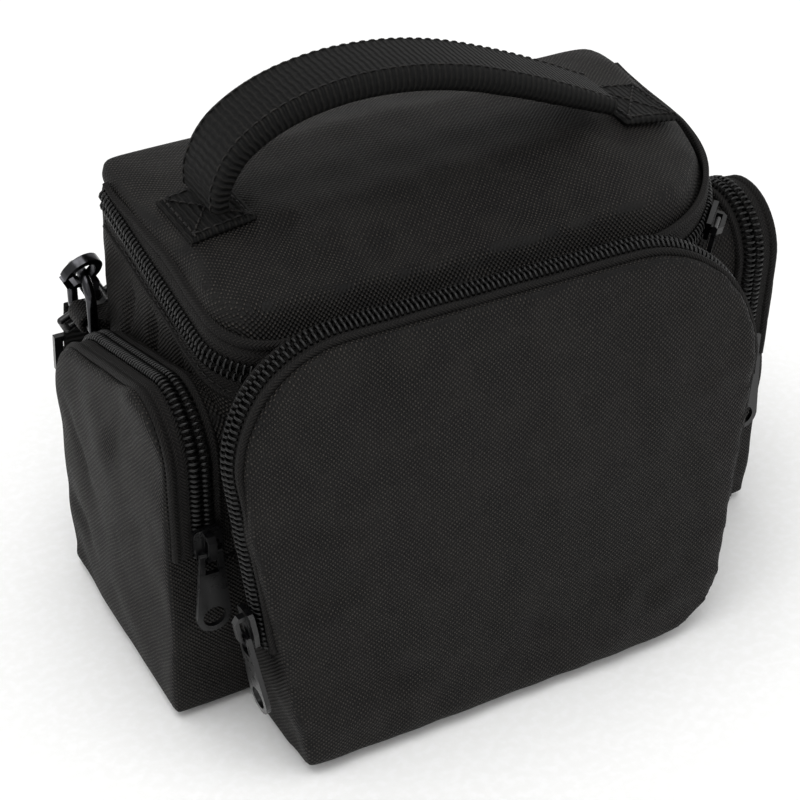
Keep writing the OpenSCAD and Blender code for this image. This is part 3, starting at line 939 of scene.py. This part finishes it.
@dataclass
class BagShape:
    """The bag's sizes in millimetres, as in the CAD source."""

    half_w: float = 92.0
    front_y: float = -31.0
    back_y: float = 70.0
    zip_z: float = 123.0
    zip_back_z: float = 140.0
    zip_end_y: float = 58.0
    lean: float = 8.0
    foot_y: float = 58.7
    side_zip: float = 9.3
    side_y1: float = 61.0

    LINE_STEP_MM = 2.5
    RISE = 0.168

    @property
    def tilt(self) -> float:
        """How far the lid's zip rises to the back, in radians."""
        return math.atan2(self.zip_back_z - self.zip_z, self.back_y - self.front_y)

    def zip_height(self, y: Points) -> Points:
        """How high the lid's zip is, to within a tenth of a millimetre, at each distance back."""
        return self.zip_z + (y - self.front_y) * self.RISE

    def lid_line(self) -> tuple[Points, Points, Points]:
        """The lid zip's line, with its directions across and out.

        Returns:
            Points, across and outward directions.
        """
        flat = [(-92, self.zip_end_y), *arc(-74, -13, 18, 180, 270), *arc(42, 19, 50, 270, 360, 24),
                (92, self.zip_end_y)]
        line = even(np.array(flat, float), self.LINE_STEP_MM)
        way = tangents(line)
        out = np.stack([way[:, 1], -way[:, 0], np.zeros(len(line))], axis=1)
        z = self.zip_z + (line[:, 1] - self.front_y) * math.tan(self.tilt)
        across = np.tile([0, -math.sin(self.tilt), math.cos(self.tilt)], (len(line), 1))
        return np.column_stack([line, z]), across, out

    def on_pocket(self, x: Points, depth: Points | float, t: Points) -> Points:
        """Points on the front pocket's leaning face.

        Args:
            x: How far right.
            depth: How far behind the face.
            t: How far up the face.

        Returns:
            The points in the bag's frame.
        """
        s, c = math.sin(math.radians(self.lean)), math.cos(math.radians(self.lean))
        depth = np.zeros_like(t) + depth
        return np.stack([x, -self.foot_y + depth * c + t * s, -depth * s + t * c], axis=1)

    def pocket_line(self) -> tuple[Points, Points, Points]:
        """The front pocket zip's line, with its directions across and out.

        Returns:
            Points, across and outward directions.
        """
        flat = [(-92.76, 46), *arc(-64, 105, 34, 180, 90), *arc(32, 95, 44, 90, 0, 20), (67.72, 46)]
        line = even(np.array(flat, float), self.LINE_STEP_MM)
        way = tangents(line)
        s, c = math.sin(math.radians(self.lean)), math.cos(math.radians(self.lean))
        out = np.stack([-way[:, 1], way[:, 0] * s, way[:, 0] * c], axis=1)
        across = np.tile([0, -c, s], (len(line), 1))
        return self.on_pocket(line[:, 0], -0.3, line[:, 1]), across, out

    def side_line(self, side: Side) -> tuple[Points, Points, Points]:
        """A side pocket zip's line, with its directions across and out.

        Args:
            side: Which side.

        Returns:
            Points, across and outward directions.
        """
        y0, zf, zb = (-27, 112, 97) if side is Side.LEFT else (-16, 120, 97)
        fall = math.degrees(math.atan2(zf - zb, self.side_y1 - y0))
        flat = [(y0, 64), *arc(y0 + 18, zf - 18, 18, 180, 90 - fall),
                *arc(self.side_y1 - 26, zb - 25, 26, 90 - fall, 0, 16), (self.side_y1, 64)]
        line = even(np.array(flat, float), self.LINE_STEP_MM)
        way = tangents(line)
        out = np.stack([np.zeros(len(line)), -way[:, 1], way[:, 0]], axis=1)
        x = np.full(len(line), side.value * (self.half_w + self.side_zip))
        across = np.tile([side.value * 1.0, 0, 0], (len(line), 1))
        return np.column_stack([x, line]), across, out


# ---------------------------------------------------------------- sub-assemblies
@dataclass
class Compartment:
    """The main padded box, its lining, board and dividers."""

    shape: BagShape
    voxel_mm: float = 2.2

    CREASES = ((-6, 10, 1.5), (8, -8, 1.2), (24, 6, 1.6), (40, 12, 1.1), (-18, 4, 1.0))
    BELOW_ZIP_MM = 13

    def body(self, p: Points, n: Points) -> Points:
        """The box's cloth: full in the middle of each panel and creased under the left end of its zip.

        Args:
            p: The points, in millimetres.
            n: Their normals.

        Returns:
            How far each point moves.
        """
        full = np.clip(np.sin(math.pi * np.clip(p[:, 2] / 125, 0, 1)), 0, 1)
        move = 0.6 * ripple(p, 46, 3) + 0.3 * ripple(p, 17, 4)
        side = (np.abs(n[:, 0]) > 0.7) & (np.abs(p[:, 0]) > 89)
        move += np.where(side, 1.2 * full, 0)
        under = np.clip((self.shape.zip_height(p[:, 1]) - self.BELOW_ZIP_MM - p[:, 2]) / 30, 0, 1)
        creases = folds(p, [((-92, y, 120), (-92, y + lean, 80), 2.4, 1.5 * deep)
                            for y, lean, deep in self.CREASES])
        move -= creases * np.clip(under * 3, 0, 1)
        back = n[:, 1] > 0.7
        move += np.where(back, 1.4 * full * np.cos(p[:, 0] / 62), 0)
        return n * move[:, None] * np.clip((p[:, 2] - 3) / 8, 0, 1)[:, None]

    def build(self) -> None:
        """Makes the box and everything fixed inside it."""
        SoftShell("body_shell", "bag", voxel_mm=self.voxel_mm).make(self.body)
        quilt = Quilt(14, 8)
        SoftShell("body_lining", "bag", NAP, Slot.LINING, voxel_mm=0, fill=0.3).make(quilt)
        for node, voxel_mm in (("base_board", 1.3), ("divider_left", 1.8), ("divider_right", 1.8)):
            SoftShell(node, "bag", NAP, Slot.LINING, voxel_mm, fill=0.4).make(quilt)


@dataclass
class Lid:
    """The padded lid, with its zip and its webbing patches."""

    shape: BagShape
    rows: RowTree

    HOLLOW_AND_CROWNS = (
        ((-6, -14, 140), (42, 13, 12), -2.6), ((48, -6, 142), (26, 22, 14), 1.6),
        ((-46, -4, 144), (18, 14, 12), 1.2))
    CREASES = (
        ((-86, -18, 130), (-58, 2, 149), 3.0, 3.2), ((-78, -26, 128), (-48, -8, 147), 3.2, 2.8),
        ((-88, 2, 134), (-66, 14, 150), 3.0, 2.2), ((-60, -29, 127), (-34, -14, 144), 3.8, 2.2),
        ((70, -14, 130), (52, 4, 148), 4.0, 1.1), ((-30, -30, 126), (-10, -20, 140), 4.4, 1.7))
    ABOVE_ZIP_MM = 4
    ANCHOR_FALL_DEG = 8.3

    def top(self, p: Points, n: Points) -> Points:
        """The lid's cloth: a hollow on its front slope and folds where it turns down at the left.

        Args:
            p: The points, in millimetres.
            n: Their normals.

        Returns:
            How far each point moves.
        """
        move = 0.7 * ripple(p, 52, 11) + 0.3 * ripple(p, 19, 12)
        up = np.clip(n[:, 2] * 1.5, 0, 1) + np.clip(-n[:, 1], 0, 1) * 0.8
        for centre, reach, height in self.HOLLOW_AND_CROWNS:
            move += height * near(p, centre, reach) * up
        move -= folds(p, self.CREASES)
        skirt = np.clip((p[:, 2] - self.shape.zip_height(p[:, 1]) - self.ABOVE_ZIP_MM) / 7, 0, 1)
        return n * (move * skirt)[:, None]

    def hinge(self) -> None:
        """The strip of cloth across the back that the lid turns on."""
        n = 60
        x = np.linspace(-86, 86, n)
        line = np.column_stack([x, np.full(n, 70.5), np.full(n, 140.2)])
        low, high = -8.6, 3.6
        section = np.array([(v, 0.55 - 0.5 * (abs(v + 2.5) / 6.4) ** 4) for v in np.linspace(low, high, 13)]
                           + [(v, -0.25) for v in np.linspace(high, low, 13)])
        section = np.repeat(section[None], n, axis=0)
        section[:, 1:12, 1] += 0.14 * np.sin(x / 5.1)[:, None] + 0.1 * np.sin(x / 2.3 + 1)[:, None]
        up, back = np.tile([0, 0, 1.0], (n, 1)), np.tile([0, 1.0, 0], (n, 1))
        piece = sweep("lid_hinge_cloth", line, up, back, section)
        piece.data.materials.append(BINDING.material())
        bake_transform(piece)
        log.info("%s bends between bag and lid", piece.name)

    def patch(self, word: str, slope: float) -> None:
        """One sewn webbing patch under an end of the handle, with its box of stitches.

        Args:
            word: left or right.
            slope: Which way the lid falls under it, as a sign.
        """
        node = f"handle_anchor_{word}"
        low, high = [np.array(v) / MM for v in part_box(node)]
        middle = (low + high) / 2
        fall = math.radians(self.ANCHOR_FALL_DEG) * slope
        along = np.array([math.cos(fall), 0, -math.sin(fall)])
        out = np.array([math.sin(fall), 0, math.cos(fall)])
        line = middle + along * np.linspace(-10.4, 10.4, 15)[:, None]
        n = len(line)
        section = rounded_box(26.6, 2.0, 0.9, 3)
        section = np.repeat(section[None], n, axis=0)
        section[:, :, 1] += 0.25 * np.cos(np.linspace(-1, 1, n) * math.pi)[:, None] * (section[:, :, 1] > 0)
        side = np.tile([0, 1.0, 0], (n, 1))
        piece = sweep(f"patch_{word}", line, side, np.tile(out, (n, 1)), section)
        dress(piece, WEBBING, Slot.WEBBING, "lid", node)
        a, b = 8.6, 11.2
        corners = [(-a, -b), (a, -b), (a, b), (-a, b), (-a, -b), (a, b)]
        lines = []
        for (a0, b0), (a1, b1) in [*zip(corners, corners[1:]), ((-a, b), (a, -b))]:
            start = middle + along * a0 + np.array([0, b0, 0]) + out * 1.25
            end = middle + along * a1 + np.array([0, b1, 0]) + out * 1.25
            stretch = start + (end - start) * np.linspace(0, 1, 12)[:, None]
            way = unit(end - start)
            lines.append((stretch, np.tile(np.cross(out, way), (12, 1)), np.tile(out, (12, 1))))
        self.rows.sew(f"patch_{word}_stitches", lines, 3.0, 0.8, Slot.WEBBING, "lid")

    def build(self) -> None:
        """Makes the lid, its lining, zip and patches."""
        SoftShell("lid_shell", "lid", voxel_mm=1.6, rounds=9, fill=0.7).make(self.top)
        SoftShell("lid_lining", "lid", NAP, Slot.LINING, voxel_mm=0, fill=0.3).make(Quilt(15, 21))
        zip_line = ZipLine("lid_zip", *self.shape.lid_line(), self.rows)
        zip_line.tape(-1, 12.0, "bag", "lid_zip_lower")
        zip_line.tape(1, 11.0, "lid", "lid_zip_upper", lean=0.32)
        zip_line.coil(-1, "bag")
        zip_line.coil(1, "lid")
        zip_line.stitches(-1, 8.6, 1.0, "bag")
        self.patch("left", -1)
        self.patch("right", 1)
        self.hinge()


@dataclass
class Handle:
    """The grab handle: webbing folded round a foam core, with a sewn ridge."""

    rows: RowTree
    middle_y: float = 19.0
    width: float = 25.0
    thick: float = 8.0

    LINE = ((-76, 154.5), (-75, 162), (-68, 172), (-54, 179.5), (-36, 183), (-16, 182.5), (4, 178.5),
            (24, 171.5), (42, 164), (58, 157))

    def build(self) -> None:
        """Makes the folded webbing and its two rows of stitches."""
        flat = even(smooth_line(self.LINE, 8), 2.2)
        n = len(flat)
        line = np.column_stack([flat[:, 0], np.full(n, self.middle_y), flat[:, 1]])
        way = tangents(line)
        side = np.tile([0, 1.0, 0], (n, 1))
        out = unit(np.cross(way, side)) * -1
        out *= np.sign(out[n // 2, 2])
        run = run_of(line) / run_of(line)[-1]
        thick = self.thick * np.clip(0.42 + 0.58 * np.sin(math.pi * np.clip(run, 0.02, 0.98)) ** 0.35, 0.4, 1)
        section = np.stack([rounded_box(self.width, t, t * 0.42, 5) for t in thick])
        ridge = np.exp(-((section[..., 0] - 2.5) / 1.5) ** 2) * (section[..., 1] < 0)
        section[..., 1] -= ridge * 0.8
        crown = (1 - (section[..., 0] / (self.width / 2)) ** 2) * 0.45 * np.sign(section[..., 1])
        section[..., 1] += crown
        piece = sweep("handle_webbing", line, side, out, section)
        dress(piece, WEBBING, Slot.WEBBING, "handle", "handle_cover", "handle_core")
        height = (thick / 2 + 0.12)[:, None]
        lines = [(line + side * y + out * height, side, out) for y in (-9.6, 9.6)]
        self.rows.sew("handle_stitches", lines, 3.2, 1.0, Slot.WEBBING, "handle")


@dataclass
class FrontPocket:
    """The front pocket: its tray, gusset, padded face and zip."""

    shape: BagShape
    rows: RowTree

    FACE_CREASES = (
        ((-84, -50, 118), (-66, -50, 108), 3.2, 1.3), ((-60, -48, 133), (-50, -50, 116), 3.4, 1.2),
        ((-88, -56, 84), (-66, -56, 80), 3.4, 1.2), ((-88, -60, 58), (-62, -62, 62), 4.2, 1.3),
        ((62, -54, 96), (44, -54, 92), 4.0, 0.9), ((30, -48, 132), (24, -50, 116), 3.6, 0.8))
    FOOT_CREASES = (((-84, -64, 30), (-48, -67, 22), 4.5, 1.6), ((52, -62, 34), (30, -67, 20), 4.5, 1.2))
    CREASE_HEIGHTS = (37.0, 46.0)

    def cloth(self, p: Points, n: Points) -> Points:
        """The padded face, crowned and dented along its zip, and the slack cloth of the foot below it.

        Args:
            p: The points, in millimetres.
            n: Their normals.

        Returns:
            How far each point moves.
        """
        t = p[:, 2] / math.cos(math.radians(self.shape.lean))
        front = np.clip(-n[:, 1] * 1.4 - 0.3, 0, 1) * np.clip(p[:, 2] / 12, 0, 1)
        wide = np.clip(1 - (np.abs(p[:, 0] + 11) / 86) ** 2.4, 0, 1)
        tall = np.clip(np.sin(math.pi * np.clip((t + 6) / 145, 0, 1)), 0, 1) ** 0.6
        face = front * (2.2 * wide * tall + 0.6 * ripple(p, 48, 31) + 0.25 * ripple(p, 16, 32) - 0.8)
        face -= front * folds(p, self.FACE_CREASES)
        off_floor = np.clip((p[:, 2] - 1.5) / 7, 0, 1) * np.clip((52 - p[:, 2]) / 20, 0, 1)
        foot = 0.8 * ripple(p, 34, 35) + 0.3 * ripple(p, 13, 36) - folds(p, self.FOOT_CREASES)
        return n * (face + foot * off_floor)[:, None]

    def build(self) -> None:
        """Makes the pocket's cloth and its zip."""
        low, high = [tuple(self.shape.on_pocket(np.zeros(1), -10.4, np.array([t]))[0])
                     for t in self.CREASE_HEIGHTS]
        SoftShell("front_tray", "bag", voxel_mm=1.5, rounds=6, fill=0.7, joined="front_flap",
                  moving="front_cover", crease=(low, high)).make(self.cloth)
        SoftShell("front_gusset", "bag", voxel_mm=0.9, rounds=3, fill=0.4).make(Quilt(22, 38, 0.3))
        zip_line = ZipLine("front_zip", *self.shape.pocket_line(), self.rows)
        zip_line.tape(-1, 5.2, "bag", "front_zip_inner")
        zip_line.tape(1, 7.2, "front_cover", "front_zip_outer")
        zip_line.coil(-1, "bag")
        zip_line.coil(1, "front_cover")


@dataclass
class SidePocket:
    """One side pocket: its tray, gusset, face and zip."""

    shape: BagShape
    side: Side
    rows: RowTree

    FACE_X = 113.0

    def face(self, p: Points, n: Points) -> Points:
        """The pocket's cloth: slack, with long soft folds down its face.

        Args:
            p: The points, in millimetres.
            n: Their normals.

        Returns:
            How far each point moves.
        """
        out = np.clip(n[:, 0] * self.side.value * 1.3 - 0.2, 0, 1)
        off_floor = np.clip((p[:, 2] - 1.5) / 7, 0, 1)
        seed = 41 if self.side is Side.LEFT else 47
        move = 0.9 * ripple(p, 40, seed) + 0.35 * ripple(p, 15, seed + 1)
        middle = np.clip(np.sin(math.pi * np.clip((p[:, 1] + 27) / 88, 0, 1)), 0, 1)
        move += out * 1.8 * middle * np.sin(math.pi * np.clip(p[:, 2] / 112, 0, 1))
        x = self.side.value * self.FACE_X
        move -= folds(p, (((x, -16, 70), (x, 10, 48), 4.2, 1.5), ((x, 50, 74), (x, 34, 52), 4.2, 1.3),
                          ((x, 4, 98), (x, 12, 76), 3.6, 1.0), ((x, 56, 34), (x, 36, 22), 5.0, 1.4)))
        return n * (move * off_floor)[:, None]

    def build(self) -> None:
        """Makes the pocket's cloth and its zip."""
        word = self.side.word
        x = self.side.value * self.FACE_X
        SoftShell(f"{word}_tray", "bag", voxel_mm=1.4, fill=0.5, joined=f"{word}_flap",
                  moving=f"{word}_cover", crease=((x, 15, 57), (x, 15, 65))).make(self.face)
        SoftShell(f"{word}_gusset", "bag", voxel_mm=0.9, rounds=3, fill=0.3).make(Quilt(20, 52))
        zip_line = ZipLine(f"{word}_zip", *self.shape.side_line(self.side), self.rows)
        zip_line.tape(-1, 6.6, "bag", f"{word}_zip_inner")
        zip_line.tape(1, 9.7, f"{word}_cover", f"{word}_zip_outer")
        zip_line.coil(-1, "bag")
        zip_line.coil(1, f"{word}_cover")


@dataclass
class ShoulderStrap:
    """The shoulder strap: one length of webbing from hook to hook, its spare turns on edge behind the bag."""

    width: float = 25.0
    thick: float = 1.6
    coil_x: float = 8.0
    coil_y: float = 129.0
    half: float = 42.0
    outer: float = 38.0
    inner: float = 16.5

    ON_STRAP = ("strap_adjuster", "left_loop", "left_hook", "left_gate", "right_loop", "right_hook",
                "right_gate")
    FLOOR = 12.6
    LEFT = ((-88, 84.7, 86), (-88.5, 86.5, 72), (-88, 88, 55), (-83, 89.5, 40), (-74, 91, 28), (-62, 91, 19),
            (-48, 91, 14), (-34, 91, 12.6))
    RIGHT = ((88, 84.7, 86), (88.5, 88, 73), (88, 92, 61), (84, 97, 52), (77, 102, 45), (68, 107, 39),
             (58, 110, 31), (48, 112, 22), (38, 112.5, 15), (28, 112.5, 12.6))

    def turns(self) -> tuple[Points, Points]:
        """The spare turns: their middle line and the way that the webbing faces.

        Returns:
            The points and their outward directions.
        """
        points, faces = [], []
        for share in np.linspace(0, 2, 161)[:-1]:
            r = self.outer + (self.inner - self.outer) * share / 2
            length = 4 * self.half + 2 * math.pi * r
            at = (share % 1) * length
            arc_length = math.pi * r
            if at < 2 * self.half:
                x, y, nx, ny = at - self.half, -r, 0.0, -1.0
            elif at < 2 * self.half + arc_length:
                a = -math.pi / 2 + (at - 2 * self.half) / r
                nx, ny = math.cos(a), math.sin(a)
                x, y = self.half + r * nx, r * ny
            elif at < 4 * self.half + arc_length:
                x, y, nx, ny = self.half - (at - 2 * self.half - arc_length), r, 0.0, 1.0
            else:
                a = math.pi / 2 + (at - 4 * self.half - arc_length) / r
                nx, ny = math.cos(a), math.sin(a)
                x, y = -self.half + r * nx, r * ny
            points.append((self.coil_x + x, self.coil_y + y, self.FLOOR))
            faces.append((nx, ny, 0))
        for x in np.linspace(-self.half, 28 - self.coil_x, 10):
            points.append((self.coil_x + x, self.coil_y - self.inner, self.FLOOR))
            faces.append((0, -1, 0))
        return np.array(points), np.array(faces, float)

    def build(self) -> None:
        """Makes the strap."""
        left = smooth_line(self.LEFT, 4)[:-1]
        right = smooth_line(self.RIGHT, 4)[::-1][1:]
        middle, middle_face = self.turns()
        line = np.vstack([left, middle, right])
        face = np.vstack([np.zeros_like(left), middle_face, np.zeros_like(right)])
        way = tangents(line)
        forward = np.array([0, -1.0, 0])
        level = unit(forward - way * (way @ forward)[:, None])
        face[:len(left)] = level[:len(left)]
        face[-len(right):] = level[-len(right):]
        face = unit(face - way * (face * way).sum(axis=1, keepdims=True))
        side = np.cross(way, face)
        section = rounded_box(self.width, self.thick, 0.7, 3)
        piece = sweep("shoulder_strap", line, side, face, section)
        dress(piece, WEBBING, Slot.WEBBING, "bag", "strap_left", "strap_coil", "strap_right")


class Hardware:
    """Sliders, pull tabs, rings and hooks: the CAD's own solids, each in its metal's finish."""

    ENAMELLED = ("lid_slider_corner", "lid_pull_corner", "lid_slider_front", "lid_pull_front", "front_slider",
                 "front_pull", "left_slider", "left_pull", "right_slider", "right_pull", "strap_adjuster",
                 "left_loop", "right_loop")
    BRIGHT = ("left_ring", "left_hook", "left_gate", "right_ring", "right_hook", "right_gate")

    def build(self) -> None:
        """Dresses the metal parts and makes the ring tabs."""
        for names, finish in ((self.ENAMELLED, ENAMEL), (self.BRIGHT, PLATED)):
            for name in names:
                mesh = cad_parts[name].data
                mesh.materials.clear()
                mesh.materials.append(finish.material())
                log.info("%s is finished in %s", name, finish.name)
        for side in Side:
            SoftShell(f"{side.word}_ring_tab", "bag", OXFORD, Slot.WEBBING, 0.8, 3, 0.5).make()


@dataclass
class Studio:
    """Pale floor, soft light and the camera."""

    azimuth: float = -29.2
    elevation: float = 35.3
    roll: float = 1.2
    lens: float = 89.5
    distance: float = 0.6482
    target: tuple[float, float, float] = (-0.0136, 0.0126, 0.0655)
    floor_half_mm: float = 3000
    sky_strength: float = 0.72

    def camera(self) -> None:
        """Sets the camera at its angle."""
        az, el, roll = [math.radians(v) for v in (self.azimuth, self.elevation, self.roll)]
        back = Vector((math.sin(az) * math.cos(el), -math.cos(az) * math.cos(el), math.sin(el)))
        right = (-back).cross(Vector((0, 0, 1))).normalized()
        up = right.cross(-back)
        turned = right * math.cos(roll) + up * math.sin(roll)
        risen = up * math.cos(roll) - right * math.sin(roll)
        data = bpy.data.cameras.new("camera")
        data.lens = self.lens
        data.sensor_width = 36.0
        data.clip_start = 0.01
        camera = bpy.data.objects.new("camera", data)
        bpy.context.collection.objects.link(camera)
        place = Matrix((turned, risen, back)).transposed().to_4x4()
        place.translation = Vector(self.target) + back * self.distance
        camera.matrix_world = place
        bpy.context.scene.camera = camera

    def light(self, name: str, at: tuple[float, float, float], size: float, power: float) -> None:
        """One soft square light, aimed at the bag.

        Args:
            name: Its name.
            at: Where it stands.
            size: Its width.
            power: Its power in watts.
        """
        data = bpy.data.lights.new(name, "AREA")
        data.shape = "SQUARE"
        data.size = size
        data.energy = power
        lamp = bpy.data.objects.new(name, data)
        bpy.context.collection.objects.link(lamp)
        lamp.location = at
        lamp.rotation_euler = (Vector(at) - Vector((0, 0, 0.08))).to_track_quat("Z", "Y").to_euler()

    def build(self) -> None:
        """Makes the floor, the lights, the sky and the camera."""
        r = self.floor_half_mm
        corners = np.array([(-r, -r, 0), (r, -r, 0), (r, r, 0), (-r, r, 0)])
        floor = mesh_object("floor", corners, [(0, 1, 2, 3)], smooth=False)
        floor.data.materials.append(PAPER.material())
        self.light("overhead", (-0.3, -0.1, 1.7), 1.4, 15)
        self.light("left_window", (-1.5, -0.9, 1.1), 1.2, 2)
        self.light("right_fill", (1.4, -1.1, 0.8), 1.2, 3)
        world = bpy.data.worlds.new("sky")
        bpy.context.scene.world = world
        bpy.context.scene.view_settings.view_transform = "Standard"
        world.use_nodes = True
        shade = world.node_tree.nodes["Background"]
        shade.inputs["Color"].default_value = linear("#ffffff")
        shade.inputs["Strength"].default_value = self.sky_strength
        self.camera()


def main() -> None:
    """Builds the scene and the bag, in order."""
    logging.basicConfig(level=logging.INFO, format="%(message)s")
    Studio().build()
    shape = BagShape()
    rows = RowTree()
    parts = [ShoulderStrap(), Compartment(shape), Lid(shape, rows), Handle(rows), FrontPocket(shape, rows),
             SidePocket(shape, Side.LEFT, rows), SidePocket(shape, Side.RIGHT, rows), Hardware()]
    for part in parts:
        log.info("building %s", type(part).__name__)
        part.build()


if __name__ == "__main__":
    main()
